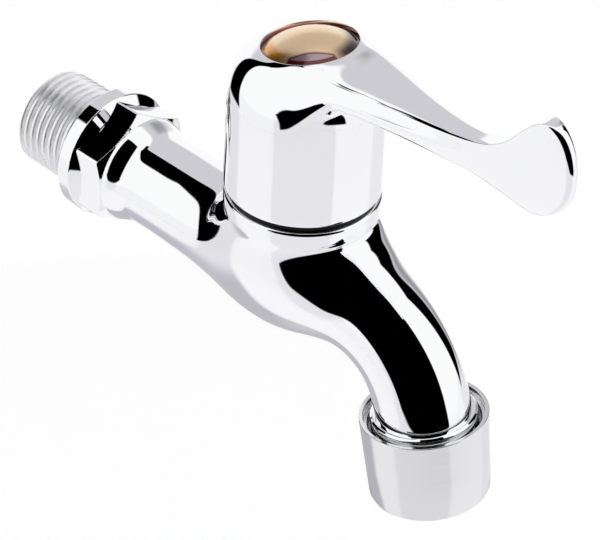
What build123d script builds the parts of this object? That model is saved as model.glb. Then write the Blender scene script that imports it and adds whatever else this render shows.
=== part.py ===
# Wall tap with a quarter-turn lever, one inlet and a fixed spout
#
# Origin: centre of the wall flange's back face, on the inlet's axis.
# +X runs away from the wall, towards the spout. +Z is up. Millimetres.

from math import asin, cos, pi, radians, sin, sqrt, tan
import os

from build123d import *

os.makedirs("parts", exist_ok=True)

# Inlet: G 1/2 male thread, wall flange and wrench hexagon
inlet_thread_d = 20.955
inlet_thread_len = 15.8
inlet_thread_chamfer = 0.4
inlet_bore_r = 6.5
flange_r = 13.65
flange_t = 3.25
flange_cone_angle = 50.0
hex_af = 23.0
hex_corner_r = 13.15
hex_end = 9.7
hex_chamfer_angle = 30.0
neck_r = 11.2
neck_len = 5.0

# Tube, belly and spout: one centreline, with a radius that swells to the belly and back
tube_r = 9.75
tube_end = 22.0
swell_start, swell_end = 27.0, 80.5
flare_x = 31.5
swell_x, swell_z = 40.5, 0.2
belly_z, belly_r = 0.9, 13.1
crest_x, crest_z = 66.6, 2.1
bend_in_x, bend_in_z = 75.3, 0.45
bend_mid_x, bend_mid_z = 82.8, -4.2
bend_out_x, bend_out_z = 87.8, -10.6
spout_r = 9.15
casting_sections = 18
outlet_x, outlet_z = 88.75, -15.85
outlet_tilt = 10.9
spout_end_r = 9.4

# Valve chamber
axis_x = 55.15
ring_r = 15.1
ring_top = 19.45
ring_height = 5.0
ring_chamfer = 0.7
ring_neck_r = 12.8
ring_neck_z = 9.0
ring_neck_root = 3.0
seat_z = 1.0
seat_hole_r = 5.0
under_seat_r = 7.0
under_seat_top = -1.4
under_seat_bottom = -9.2
under_seat_round = 3.0
chamber_r = 10.0
chamber_thread_z = 10.2
mouth_cover, mouth_depth = 1.1, 1.8
thread_clearance = 0.05

# Waterway from the tube down to the space under the seat, and out to the spout
dive_start_x = 26.0
dive_mid_x, dive_mid_z, dive_mid_r = 37.5, -2.2, 5.3
dive_end_x, dive_end_z, dive_end_r = 48.5, -5.2, 3.9
leave_x, leave_z, leave_r = 62.0, 5.7, 4.4
leave_mid_x, leave_mid_z, leave_mid_r = 70.0, 3.6, 6.0
spout_bore_in_r = 6.7
spout_bore_r = 6.4

# Headwork: G 1/2 quarter-turn ceramic headwork
headwork_thread_d = 20.955
headwork_bottom = 2.2
barrel_r = 8.7
barrel_bore_r = 7.6
window_z0, window_z1 = 6.3, 9.6
window_width = 9.0
headwork_thread_z0 = 10.8
headwork_thread_chamfer = 0.8
headwork_flange_t = 1.2
headwork_hex_setback = 1.6
headwork_hex_top = 26.0
headwork_neck_r = 7.4
housing_top = 31.0
stem_bore_r = 5.0
foot_bore_top = 12.7
headwork_o_ring_section_r = 0.85

# Rubber seal, its stiffening ring and the ceramic discs
seal_r, seal_hole_r, seal_h = 7.5, 5.2, 2.4
seal_ring_wall, seal_ring_h = 0.6, 1.6
disc_r, disc_t = 7.5, 2.6
disc_gap = 0.02
moving_disc_r, moving_disc_t = 7.2, 3.0
port_inner_r, port_outer_r = 1.8, 5.6
port_angle = 74.0
key_width, key_out_r = 3.0, 8.4
slot_width, slot_depth = 3.0, 1.2
tongue_setback = 1.0
fit_gap = 0.1
cut_over = 0.5

# Spindle and what it carries
foot_h = 3.5
stem_o_ring_section_r = 0.9
stem_o_ring_z = (18.0, 21.8)
stem_washer_r, stem_washer_t = 7.0, 0.8
circlip_r, circlip_t, circlip_groove_r = 6.4, 0.9, 4.2
circlip_mouth = 5.0
shoulder_top = 33.6
spline_r, spline_groove_side = 4.0, 0.64
spline_teeth = 20
spline_top = 43.0
spline_chamfer = 0.5
stem_screw_r, stem_screw_depth = 2.0, 9.5

# Lever: cap, arm and paddle
skirt_gap = 1.3
skirt_bottom_r = 15.15
shoulder_r, shoulder_z = 14.9, 40.6
shoulder_run = 5.7
cap_top_z = 51.45
top_tilt = 9.8
shoulder_sections = 6
skirt_wall = 1.25
cavity_shoulder_z = 39.5
cavity_top_z, cavity_top_r = 46.0, 9.4
boss_r = 7.2
boss_bottom = 34.9
arm_root_half, arm_root_slope = 9.5, -0.2
arm_mid_x, arm_mid_half = 77.0, 4.75
arm_neck_x, arm_neck_half = 94.0, 2.3
arm_tip_half = 1.55
arm_root_top_z, arm_mid_top_z, arm_neck_top_z = 50.8, 50.75, 50.6
arm_root_low_z, arm_mid_low_z, arm_neck_low_z = 44.2, 45.7, 44.9
rise_run, rise_z = 8.5, 55.2
paddle_top_run, paddle_top_z = 7.5, 61.8
paddle_tip_run, paddle_tip_z = 5.35, 52.6
paddle_low_setback, paddle_low_z = 6.75, 42.7
rise_x = arm_neck_x + rise_run
paddle_top_x = rise_x + paddle_top_run
paddle_tip_x = paddle_top_x + paddle_tip_run
paddle_low_x = paddle_tip_x - paddle_low_setback
arm_edge_round = 0.8
arm_root_round = 2.0

# Button, lever screw and spline bush
button_r = 8.9
button_seat_depth = 2.4
button_rim_drop = 1.25
button_dome = 1.9
button_spigot_wall, button_spigot_h = 0.9, 1.7
screw_pocket_r = 5.8
screw_seat_z = 45.4
bush_r, bush_len = 5.6, 8.4
screw_r, screw_len = 1.95, 10.0
screw_hole_r = 2.2
screw_head_r, screw_head_h = 4.0, 2.2
screw_socket_af, screw_socket_depth = 2.5, 1.3
screw_washer_r, screw_washer_t = 4.4, 0.6

# Glide ring in the gap under the skirt
glide_setback, glide_clearance = 0.85, 0.35
glide_flange_t = 0.9
glide_wall = 0.6
glide_h = 4.0
glide_r = skirt_bottom_r - glide_setback
glide_inner_r = skirt_bottom_r - skirt_wall - glide_clearance - glide_wall
headwork_flange_r = glide_inner_r - glide_clearance
headwork_hex_af = 2 * (headwork_flange_r - headwork_hex_setback)
mouth_r = headwork_flange_r - mouth_cover
collar_relief_r = mouth_r - 2 * headwork_o_ring_section_r - fit_gap

# Aerator
collar_top_r, collar_bottom_r, collar_len = 12.55, 11.85, 17.8
collar_rim_r = 11.7
collar_recess = 1.6
outlet_boss_r, outlet_boss_up = 10.4, 0.5
outlet_thread_r, outlet_thread_len = 11.0, 7.6
collar_mouth_r = 8.9
collar_lip = 1.6
collar_lip_round = 1.4
collar_bore_r = 10.6
aerator_washer_hole_r, aerator_washer_t = 7.0, 2.0
jet_plate_t = 1.6
jet_wall = 0.8
jet_hole_r = 0.8
jet_row_r, jet_counts = (3.1, 6.3), (6, 12)
flow_disc_t, flow_hole_r = 0.7, 0.7
screen_t, screen_space = 0.5, 0.6
screen_bar, screen_pitch = 0.6, 2.6


def hexagon_r(across_flats):
    return across_flats / sqrt(3)


def station(x, z, direction):
    return Plane(origin=(x, 0, z), x_dir=(0, 1, 0), z_dir=direction)


def level(z):
    return Plane(origin=(axis_x, 0, z), x_dir=(1, 0, 0), z_dir=(0, 0, 1))


# Half-section planes: local x is the radius, local y runs along the axis
valve_axis = Axis((axis_x, 0, 0), (0, 0, 1))
valve_section = Plane(origin=(axis_x, 0, 0), x_dir=(1, 0, 0), z_dir=(0, -1, 0))
out_sin, out_cos = sin(radians(outlet_tilt)), cos(radians(outlet_tilt))
outlet_axis = Axis((outlet_x, 0, outlet_z), (out_sin, 0, -out_cos))
outlet_section = Plane(origin=(outlet_x, 0, outlet_z), x_dir=(out_cos, 0, out_sin), z_dir=(0, 1, 0))
top_sin, top_cos = sin(radians(top_tilt)), cos(radians(top_tilt))
button_axis = Axis((axis_x, 0, cap_top_z), (-top_sin, 0, top_cos))
button_section = Plane(origin=(axis_x, 0, cap_top_z), x_dir=(top_cos, 0, top_sin), z_dir=(0, -1, 0))


def outlet_level(distance):
    return Plane(
        origin=(outlet_x + out_sin * distance, 0, outlet_z - out_cos * distance),
        x_dir=(0, 1, 0),
        z_dir=(out_sin, 0, -out_cos),
    )


def button_level(height):
    return Plane(
        origin=(axis_x - top_sin * height, 0, cap_top_z + top_cos * height),
        x_dir=(0, 1, 0),
        z_dir=(-top_sin, 0, top_cos),
    )


# Body centreline

with BuildLine(Plane.XZ) as centreline:
    Spline(
        (tube_end, 0),
        (flare_x, 0),
        (swell_x, swell_z),
        (axis_x, belly_z),
        (crest_x, crest_z),
        (bend_in_x, bend_in_z),
        (bend_mid_x, bend_mid_z),
        (bend_out_x, bend_out_z),
        (outlet_x, outlet_z),
        tangents=((1, 0), (out_sin, -out_cos)),
    )
path = centreline.edge()


def direction_at(x, z):
    return path.tangent_at(path.param_at_point(Vector(x, 0, z)))


def casting_r(x):
    start, root_r = (swell_start, tube_r) if x < axis_x else (swell_end, spout_r)
    share = min(max((x - start) / (axis_x - start), 0), 1)
    return root_r + (belly_r - root_r) * (1 - cos(pi * share)) / 2


flange_cone_len = (flange_r - hex_af / 2) / tan(radians(flange_cone_angle))
hex_front = hex_end + (hex_corner_r - hex_af / 2) * tan(radians(hex_chamfer_angle))
body_thread_r = headwork_thread_d / 2 + thread_clearance
outlet_thread_end = collar_recess + outlet_thread_len

# Wrench hexagon, its front corners turned off as a nut's are

with BuildPart() as wrench_hex:
    with BuildSketch(Plane.YZ.offset(flange_t)):
        RegularPolygon(hexagon_r(hex_af), 6, rotation=30)
    extrude(amount=hex_front - flange_t)
    with BuildSketch(Plane.XZ):
        with BuildLine():
            Polyline(
                (flange_t, 0), (flange_t, hex_corner_r), (hex_end, hex_corner_r),
                (hex_front, hex_af / 2), (hex_front, 0), (flange_t, 0),
            )
        make_face()
    revolve(axis=Axis.X, mode=Mode.INTERSECT)

# Waterway cores, taken out of the casting further down

with BuildPart() as inlet_core:
    with BuildSketch(Plane.YZ.offset(-inlet_thread_len)):
        Circle(inlet_bore_r)
    extrude(amount=inlet_thread_len + dive_start_x)
    for x, z, r in (
        (dive_start_x, 0, inlet_bore_r),
        (dive_mid_x, dive_mid_z, dive_mid_r),
        (dive_end_x, dive_end_z, dive_end_r),
    ):
        with BuildSketch(Plane.YZ.offset(x)):
            with Locations((0, z)):
                Circle(r)
    loft()
    with BuildSketch(valve_section):
        with BuildLine():
            Line((0, under_seat_bottom), (under_seat_r - under_seat_round, under_seat_bottom))
            CenterArc((under_seat_r - under_seat_round, under_seat_bottom + under_seat_round),
                      under_seat_round, -90, 90)
            Polyline(
                (under_seat_r, under_seat_bottom + under_seat_round),
                (under_seat_r, under_seat_top), (0, under_seat_top), (0, under_seat_bottom),
            )
        make_face()
    revolve(axis=valve_axis)
    with BuildSketch(level(under_seat_top)):
        Circle(seat_hole_r)
    extrude(amount=seat_z - under_seat_top)

with BuildPart() as outlet_core:
    for x, z, r in (
        (leave_x, leave_z, leave_r),
        (leave_mid_x, leave_mid_z, leave_mid_r),
    ):
        with BuildSketch(Plane.YZ.offset(x)):
            with Locations((0, z)):
                Circle(r)
    for x, z, r in (
        (bend_in_x, bend_in_z, spout_bore_in_r),
        (bend_mid_x, bend_mid_z, spout_bore_r),
        (bend_out_x, bend_out_z, spout_bore_r),
    ):
        with BuildSketch(station(x, z, direction_at(x, z))):
            Circle(r)
    with BuildSketch(outlet_level(outlet_thread_end)):
        Circle(spout_bore_r)
    loft()

# Body casting

with BuildPart() as tap_body:
    # Thread cylinder, wall flange, neck and tube
    with BuildSketch(Plane.XZ):
        with BuildLine():
            Polyline(
                (-inlet_thread_len, 0),
                (-inlet_thread_len, inlet_thread_d / 2 - inlet_thread_chamfer),
                (-inlet_thread_len + inlet_thread_chamfer, inlet_thread_d / 2),
                (0, inlet_thread_d / 2),
                (0, flange_r),
                (flange_t, flange_r),
                (flange_t + flange_cone_len, hex_af / 2),
                (flange_t + flange_cone_len, neck_r),
                (hex_front, neck_r),
            )
            Spline((hex_front, neck_r), (hex_front + neck_len, tube_r),
                   tangents=((1, -2), (1, 0)), tangent_scalars=(0.5, 1.2))
            Polyline((hex_front + neck_len, tube_r), (tube_end, tube_r), (tube_end, 0),
                     (-inlet_thread_len, 0))
        make_face()
    revolve(axis=Axis.X)
    add(wrench_hex.part)

    # Belly and spout
    for step in range(casting_sections):
        place = path @ (step / casting_sections)
        with BuildSketch(station(place.X, place.Z, path % (step / casting_sections))):
            Circle(casting_r(place.X))
    with BuildSketch(outlet_level(0)):
        Circle(spout_end_r)
    loft()

    # Valve chamber's ring on its drawn-in neck
    with BuildSketch(valve_section):
        with BuildLine():
            Polyline(
                (0, ring_neck_root),
                (0, ring_top),
                (ring_r - ring_chamfer, ring_top),
                (ring_r, ring_top - ring_chamfer),
                (ring_r, ring_top - ring_height),
            )
            Spline((ring_r, ring_top - ring_height), (ring_neck_r, ring_neck_z),
                   tangents=((-1, -0.6), (0, -1)), tangent_scalars=(1, 1))
            Polyline((ring_neck_r, ring_neck_z), (ring_neck_r, ring_neck_root), (0, ring_neck_root))
        make_face()
    revolve(axis=valve_axis)

    # Outlet: shoulder in the collar's recess, then the aerator's thread
    with BuildSketch(outlet_level(-outlet_boss_up)):
        Circle(outlet_boss_r)
    extrude(amount=outlet_boss_up + collar_recess)
    with BuildSketch(outlet_level(collar_recess)):
        Circle(outlet_thread_r)
    extrude(amount=outlet_thread_len)

    # Waterways, valve chamber and the headwork's threaded mouth
    add(inlet_core.part, mode=Mode.SUBTRACT)
    add(outlet_core.part, mode=Mode.SUBTRACT)
    with BuildSketch(valve_section):
        with BuildLine():
            Polyline(
                (0, seat_z),
                (chamber_r, seat_z),
                (chamber_r, chamber_thread_z),
                (body_thread_r, chamber_thread_z),
                (body_thread_r, ring_top - mouth_depth),
                (mouth_r, ring_top - mouth_depth),
                (mouth_r, ring_top),
                (0, ring_top),
                (0, seat_z),
            )
        make_face()
    revolve(axis=valve_axis, mode=Mode.SUBTRACT)

tap_body.part.label = "tap_body"
export_step(tap_body.part, "parts/tap_body.step")

# Headwork housing

with BuildPart() as headwork_housing:
    with BuildSketch(level(ring_top + headwork_flange_t)):
        RegularPolygon(hexagon_r(headwork_hex_af), 6)
        Circle(headwork_flange_r, mode=Mode.INTERSECT)
    extrude(amount=headwork_hex_top - ring_top - headwork_flange_t)
    with BuildSketch(valve_section):
        with BuildLine():
            Polyline(
                (0, headwork_bottom),
                (barrel_r, headwork_bottom),
                (barrel_r, headwork_thread_z0),
                (headwork_thread_d / 2 - headwork_thread_chamfer, headwork_thread_z0),
                (headwork_thread_d / 2, headwork_thread_z0 + headwork_thread_chamfer),
                (headwork_thread_d / 2, ring_top - mouth_depth),
                (collar_relief_r, ring_top - mouth_depth),
                (collar_relief_r, ring_top),
                (headwork_flange_r, ring_top),
                (headwork_flange_r, ring_top + headwork_flange_t),
                (headwork_neck_r, ring_top + headwork_flange_t),
                (headwork_neck_r, housing_top),
                (0, housing_top),
                (0, headwork_bottom),
            )
        make_face()
    revolve(axis=valve_axis)
    with BuildSketch(level(headwork_bottom)):
        Circle(barrel_bore_r)
    extrude(amount=foot_bore_top - headwork_bottom, mode=Mode.SUBTRACT)
    with BuildSketch(level(foot_bore_top)):
        Circle(stem_bore_r)
    extrude(amount=housing_top - foot_bore_top, mode=Mode.SUBTRACT)
    # Side windows on the Y axis, key slots for the fixed disc on the X axis
    with BuildSketch(level(window_z0)):
        Rectangle(window_width, 2 * (barrel_r + cut_over))
    extrude(amount=window_z1 - window_z0, mode=Mode.SUBTRACT)
    with BuildSketch(level(headwork_bottom)):
        Rectangle(2 * (barrel_r + cut_over), key_width + 2 * fit_gap)
    extrude(amount=seat_z + seal_h + disc_t - headwork_bottom, mode=Mode.SUBTRACT)

headwork_housing.part.label = "headwork_housing"
export_step(headwork_housing.part, "parts/headwork_housing.step")

with BuildPart() as headwork_o_ring:
    with BuildSketch(valve_section):
        with Locations((collar_relief_r + headwork_o_ring_section_r + fit_gap / 2,
                        ring_top - headwork_o_ring_section_r)):
            Circle(headwork_o_ring_section_r)
    revolve(axis=valve_axis)

headwork_o_ring.part.label = "headwork_o_ring"
export_step(headwork_o_ring.part, "parts/headwork_o_ring.step")

# Seal, stiffening ring and ceramic discs

with BuildPart() as disc_seal:
    with BuildSketch(level(seat_z)):
        Circle(seal_r)
        Circle(seal_hole_r, mode=Mode.SUBTRACT)
    extrude(amount=seal_h)

disc_seal.part.label = "disc_seal"
export_step(disc_seal.part, "parts/disc_seal.step")

with BuildPart() as seal_ring:
    with BuildSketch(level(seat_z + (seal_h - seal_ring_h) / 2)):
        Circle(seal_hole_r - fit_gap / 2)
        Circle(seal_hole_r - seal_ring_wall, mode=Mode.SUBTRACT)
    extrude(amount=seal_ring_h)

seal_ring.part.label = "seal_ring"
export_step(seal_ring.part, "parts/seal_ring.step")


def port_outline(outer_r, turn):
    with BuildSketch() as ports:
        with BuildLine():
            half = port_angle / 2
            for side in (turn, turn + 180):
                CenterArc((0, 0), outer_r, side - half, port_angle)
                CenterArc((0, 0), port_inner_r, side - half, port_angle)
                for edge in (side - half, side + half):
                    Line(
                        (port_inner_r * cos(radians(edge)), port_inner_r * sin(radians(edge))),
                        (outer_r * cos(radians(edge)), outer_r * sin(radians(edge))),
                    )
        make_face()
    return ports.sketch


fixed_disc_z = seat_z + seal_h
moving_disc_z = fixed_disc_z + disc_t + disc_gap

with BuildPart() as fixed_disc:
    with BuildSketch(level(fixed_disc_z)):
        Circle(disc_r)
        Rectangle(2 * key_out_r, key_width)
        add(port_outline(port_outer_r, 90), mode=Mode.SUBTRACT)
    extrude(amount=disc_t)

fixed_disc.part.label = "fixed_disc"
export_step(fixed_disc.part, "parts/fixed_disc.step")

with BuildPart() as moving_disc:
    with BuildSketch(level(moving_disc_z)):
        Circle(moving_disc_r)
        add(port_outline(moving_disc_r + cut_over, 0), mode=Mode.SUBTRACT)
    extrude(amount=moving_disc_t)
    with BuildSketch(level(moving_disc_z + moving_disc_t - slot_depth)):
        Rectangle(slot_width, 2 * moving_disc_r)
    extrude(amount=slot_depth, mode=Mode.SUBTRACT)

moving_disc.part.label = "moving_disc"
export_step(moving_disc.part, "parts/moving_disc.step")

# Spindle

foot_z = moving_disc_z + moving_disc_t
stem_r = stem_bore_r - fit_gap
stem_groove_r = stem_bore_r - 2 * stem_o_ring_section_r
washer_z = housing_top
circlip_z = washer_z + stem_washer_t + disc_gap


def spline_outline(radius):
    with BuildSketch() as teeth:
        Circle(radius)
        with PolarLocations(radius, spline_teeth):
            Rectangle(spline_groove_side, spline_groove_side, rotation=45, mode=Mode.SUBTRACT)
    return teeth.sketch


with BuildPart() as headwork_stem:
    with BuildSketch(level(foot_z)):
        Circle(moving_disc_r)
    extrude(amount=foot_h)
    with BuildSketch(level(foot_z + foot_h)):
        Circle(stem_r)
    extrude(amount=shoulder_top - foot_z - foot_h)
    with BuildSketch(level(shoulder_top)):
        add(spline_outline(spline_r))
    extrude(amount=spline_top - shoulder_top)
    # Driving tongue in the moving disc's slot
    with BuildSketch(level(foot_z)):
        Rectangle(slot_width - 2 * fit_gap, 2 * (moving_disc_r - tongue_setback))
    extrude(amount=-(slot_depth - fit_gap))
    # Grooves for the O-rings and the circlip, and the screw's hole
    for z in stem_o_ring_z:
        with BuildSketch(level(z - stem_o_ring_section_r)):
            Circle(stem_r)
            Circle(stem_groove_r, mode=Mode.SUBTRACT)
        extrude(amount=2 * stem_o_ring_section_r, mode=Mode.SUBTRACT)
    with BuildSketch(level(circlip_z)):
        Circle(stem_r)
        Circle(circlip_groove_r, mode=Mode.SUBTRACT)
    extrude(amount=circlip_t, mode=Mode.SUBTRACT)
    with BuildSketch(level(spline_top)):
        Circle(stem_screw_r)
    extrude(amount=-stem_screw_depth, mode=Mode.SUBTRACT)

headwork_stem.part.label = "headwork_stem"
export_step(headwork_stem.part, "parts/headwork_stem.step")

with BuildPart() as stem_o_rings:
    for z in stem_o_ring_z:
        with BuildSketch(valve_section):
            with Locations((stem_groove_r + stem_o_ring_section_r, z)):
                Circle(stem_o_ring_section_r - fit_gap / 2)
        revolve(axis=valve_axis)

stem_o_rings.part.label = "stem_o_rings"
export_step(stem_o_rings.part, "parts/stem_o_rings.step")

with BuildPart() as stem_washer:
    with BuildSketch(level(washer_z)):
        Circle(stem_washer_r)
        Circle(stem_bore_r + fit_gap, mode=Mode.SUBTRACT)
    extrude(amount=stem_washer_t)

stem_washer.part.label = "stem_washer"
export_step(stem_washer.part, "parts/stem_washer.step")

with BuildPart() as stem_circlip:
    with BuildSketch(level(circlip_z)):
        Circle(circlip_r)
        Circle(circlip_groove_r + disc_gap, mode=Mode.SUBTRACT)
        with Locations((circlip_r, 0)):
            Rectangle(2 * (circlip_r - circlip_groove_r), circlip_mouth, mode=Mode.SUBTRACT)
    extrude(amount=circlip_t - disc_gap)

stem_circlip.part.label = "stem_circlip"
export_step(stem_circlip.part, "parts/stem_circlip.step")

# Lever handle: arm and paddle are a side outline cut to a plan outline

skirt_z = ring_top + skirt_gap
shoulder_rise = cap_top_z - shoulder_z

with BuildPart() as lever_arm:
    with BuildSketch(Plane.XZ):
        with BuildLine():
            Spline(
                (axis_x, arm_root_top_z),
                (arm_mid_x, arm_mid_top_z),
                (arm_neck_x, arm_neck_top_z),
                (rise_x, rise_z),
                (paddle_top_x, paddle_top_z),
                tangents=((1, 0.1), (1, 0)),
            )
            Spline(
                (paddle_top_x, paddle_top_z),
                (paddle_tip_x, paddle_tip_z),
                (paddle_low_x, paddle_low_z),
                tangents=((1, 0), (-1, 0)),
            )
            Spline(
                (paddle_low_x, paddle_low_z),
                (arm_neck_x, arm_neck_low_z),
                (arm_mid_x, arm_mid_low_z),
                (axis_x, arm_root_low_z),
                tangents=((-1, 0), (-1, -0.1)),
            )
            Line((axis_x, arm_root_low_z), (axis_x, arm_root_top_z))
        make_face()
    extrude(amount=skirt_bottom_r, both=True)
    with BuildSketch(Plane.XY):
        with BuildLine():
            for side in (1, -1):
                Spline(
                    (axis_x, side * arm_root_half),
                    (arm_mid_x, side * arm_mid_half),
                    (arm_neck_x, side * arm_neck_half),
                    (paddle_tip_x, side * arm_tip_half),
                    tangents=((1, side * arm_root_slope), (1, 0)),
                )
            Line((axis_x, -arm_root_half), (axis_x, arm_root_half))
            Line((paddle_tip_x, -arm_tip_half), (paddle_tip_x, arm_tip_half))
        make_face()
    extrude(amount=paddle_top_z + cut_over, mode=Mode.INTERSECT)
    fillet(lever_arm.edges().filter_by(lambda e: e.center().X > axis_x + fit_gap), arm_edge_round)

with BuildPart() as lever_handle:
    # Cap: tapered skirt, then an elliptical shoulder up to the tilted top
    with BuildSketch(valve_section):
        with BuildLine():
            Polyline(
                (0, skirt_z), (skirt_bottom_r, skirt_z), (shoulder_r, shoulder_z),
                (0, shoulder_z), (0, skirt_z),
            )
        make_face()
    revolve(axis=valve_axis)
    for step in range(shoulder_sections + 1):
        turn = pi / 2 * step / shoulder_sections
        tilt = radians(top_tilt) * sin(turn)
        section = Plane(
            origin=(axis_x, 0, shoulder_z + shoulder_rise * sin(turn)),
            x_dir=(0, 1, 0),
            z_dir=(-sin(tilt), 0, cos(tilt)),
        )
        with BuildSketch(section):
            Circle(shoulder_r - shoulder_run * (1 - cos(turn)))
    loft()
    add(lever_arm.part)
    fillet(lever_handle.edges(Select.NEW), arm_root_round)

    # Hollow skirt round the headwork, leaving the boss that takes the bush
    with BuildSketch(valve_section):
        with BuildLine():
            Polyline(
                (boss_r, skirt_z),
                (skirt_bottom_r - skirt_wall, skirt_z),
                (shoulder_r - skirt_wall, cavity_shoulder_z),
            )
            Spline((shoulder_r - skirt_wall, cavity_shoulder_z), (cavity_top_r, cavity_top_z),
                   tangents=((0, 1), (-1, 0)))
            Polyline((cavity_top_r, cavity_top_z), (boss_r, cavity_top_z), (boss_r, skirt_z))
        make_face()
    revolve(axis=valve_axis, mode=Mode.SUBTRACT)
    with BuildSketch(level(skirt_z)):
        Circle(boss_r)
    extrude(amount=boss_bottom - skirt_z, mode=Mode.SUBTRACT)
    with BuildSketch(level(boss_bottom)):
        Circle(bush_r)
    extrude(amount=bush_len, mode=Mode.SUBTRACT)
    # Screw's hole and pocket, and the button's seat square to the tilted top
    with BuildSketch(level(boss_bottom)):
        Circle(screw_hole_r)
    extrude(amount=cap_top_z - boss_bottom, mode=Mode.SUBTRACT)
    with BuildSketch(level(screw_seat_z)):
        Circle(screw_pocket_r)
    extrude(amount=cap_top_z - screw_seat_z, mode=Mode.SUBTRACT)
    with BuildSketch(button_level(-button_seat_depth)):
        Circle(button_r + fit_gap / 2)
    extrude(amount=2 * button_seat_depth, mode=Mode.SUBTRACT)

lever_handle.part.label = "lever_handle"
export_step(lever_handle.part, "parts/lever_handle.step")

# Spline bush pressed in the boss

with BuildPart() as spline_bush:
    with BuildSketch(level(boss_bottom)):
        Circle(bush_r - disc_gap)
        add(spline_outline(spline_r + fit_gap), mode=Mode.SUBTRACT)
    extrude(amount=bush_len - disc_gap)

spline_bush.part.label = "spline_bush"
export_step(spline_bush.part, "parts/spline_bush.step")

# Lever screw and its spring washer

with BuildPart() as screw_washer:
    with BuildSketch(level(screw_seat_z)):
        Circle(screw_washer_r)
        Circle(screw_hole_r, mode=Mode.SUBTRACT)
    extrude(amount=screw_washer_t)

screw_washer.part.label = "screw_washer"
export_step(screw_washer.part, "parts/screw_washer.step")

screw_head_z = screw_seat_z + screw_washer_t

with BuildPart() as handle_screw:
    with BuildSketch(level(screw_head_z)):
        Circle(screw_head_r)
    extrude(amount=screw_head_h)
    with BuildSketch(level(screw_head_z)):
        Circle(screw_r)
    extrude(amount=-screw_len)
    with BuildSketch(level(screw_head_z + screw_head_h)):
        RegularPolygon(hexagon_r(screw_socket_af), 6)
    extrude(amount=-screw_socket_depth, mode=Mode.SUBTRACT)

handle_screw.part.label = "handle_screw"
export_step(handle_screw.part, "parts/handle_screw.step")

# Index button: rim, dome and a ring-shaped spigot

dome_h = button_dome + button_rim_drop
dome_r = (button_r ** 2 + dome_h ** 2) / (2 * dome_h)
dome_half = asin(button_r / dome_r) / 2
button_foot = -button_seat_depth + fit_gap
spigot_r = screw_pocket_r - fit_gap

with BuildPart() as index_button:
    with BuildSketch(button_section):
        with BuildLine():
            ThreePointArc(
                (button_r, -button_rim_drop),
                (dome_r * sin(dome_half), button_dome - dome_r * (1 - cos(dome_half))),
                (0, button_dome),
            )
            Polyline((0, button_dome), (0, button_foot), (button_r, button_foot),
                     (button_r, -button_rim_drop))
        make_face()
    revolve(axis=button_axis)
    with BuildSketch(level(cap_top_z - button_seat_depth - button_spigot_h)):
        Circle(spigot_r)
        Circle(spigot_r - button_spigot_wall, mode=Mode.SUBTRACT)
    extrude(amount=button_spigot_h)

index_button.part.label = "index_button"
export_step(index_button.part, "parts/index_button.step")

# Glide ring: flange in the gap, collar inside the skirt

with BuildPart() as glide_ring:
    with BuildSketch(valve_section):
        with BuildLine():
            Polyline(
                (glide_inner_r, ring_top),
                (glide_r, ring_top),
                (glide_r, ring_top + glide_flange_t),
                (glide_inner_r + glide_wall, ring_top + glide_flange_t),
                (glide_inner_r + glide_wall, ring_top + glide_h),
                (glide_inner_r, ring_top + glide_h),
                (glide_inner_r, ring_top),
            )
        make_face()
    revolve(axis=valve_axis)

glide_ring.part.label = "glide_ring"
export_step(glide_ring.part, "parts/glide_ring.step")

# Aerator, from the spout's end down: washer, flow disc, jet body, screens, all in the collar

washer_top = outlet_thread_end
insert_top = washer_top + aerator_washer_t
insert_r = collar_bore_r - fit_gap
insert_bore_r = insert_r - jet_wall
ledge = collar_len - collar_lip
flow_disc_r = insert_bore_r - fit_gap
screen_r = insert_bore_r - fit_gap

with BuildPart() as aerator_housing:
    with BuildSketch(outlet_section):
        with BuildLine():
            Polyline(
                (collar_rim_r, 0),
                (collar_top_r, 0),
                (collar_bottom_r, collar_len - collar_lip_round),
            )
            ThreePointArc(
                (collar_bottom_r, collar_len - collar_lip_round),
                (collar_bottom_r - collar_lip_round * (1 - cos(pi / 4)),
                 collar_len - collar_lip_round * (1 - sin(pi / 4))),
                (collar_bottom_r - collar_lip_round, collar_len),
            )
            Polyline(
                (collar_bottom_r - collar_lip_round, collar_len),
                (collar_mouth_r, collar_len),
                (collar_mouth_r, ledge),
                (collar_bore_r, ledge),
                (collar_bore_r, outlet_thread_end),
                (outlet_thread_r + thread_clearance, outlet_thread_end),
                (outlet_thread_r + thread_clearance, collar_recess),
                (collar_rim_r, collar_recess),
                (collar_rim_r, 0),
            )
        make_face()
    revolve(axis=outlet_axis)

aerator_housing.part.label = "aerator_housing"
export_step(aerator_housing.part, "parts/aerator_housing.step")

with BuildPart() as aerator_washer:
    with BuildSketch(outlet_level(washer_top)):
        Circle(insert_r)
        Circle(aerator_washer_hole_r, mode=Mode.SUBTRACT)
    extrude(amount=aerator_washer_t)

aerator_washer.part.label = "aerator_washer"
export_step(aerator_washer.part, "parts/aerator_washer.step")

with BuildPart() as aerator_insert:
    with BuildSketch(outlet_level(insert_top)):
        Circle(insert_r)
    extrude(amount=ledge - insert_top)
    with BuildSketch(outlet_level(insert_top)):
        Circle(insert_bore_r)
    extrude(amount=flow_disc_t, mode=Mode.SUBTRACT)
    with BuildSketch(outlet_level(insert_top + flow_disc_t + jet_plate_t)):
        Circle(insert_bore_r)
    extrude(amount=ledge - insert_top - flow_disc_t - jet_plate_t, mode=Mode.SUBTRACT)
    with BuildSketch(outlet_level(insert_top + flow_disc_t)):
        for row_r, count in zip(jet_row_r, jet_counts):
            with PolarLocations(row_r, count):
                Circle(jet_hole_r)
    extrude(amount=jet_plate_t, mode=Mode.SUBTRACT)

aerator_insert.part.label = "aerator_insert"
export_step(aerator_insert.part, "parts/aerator_insert.step")

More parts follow.
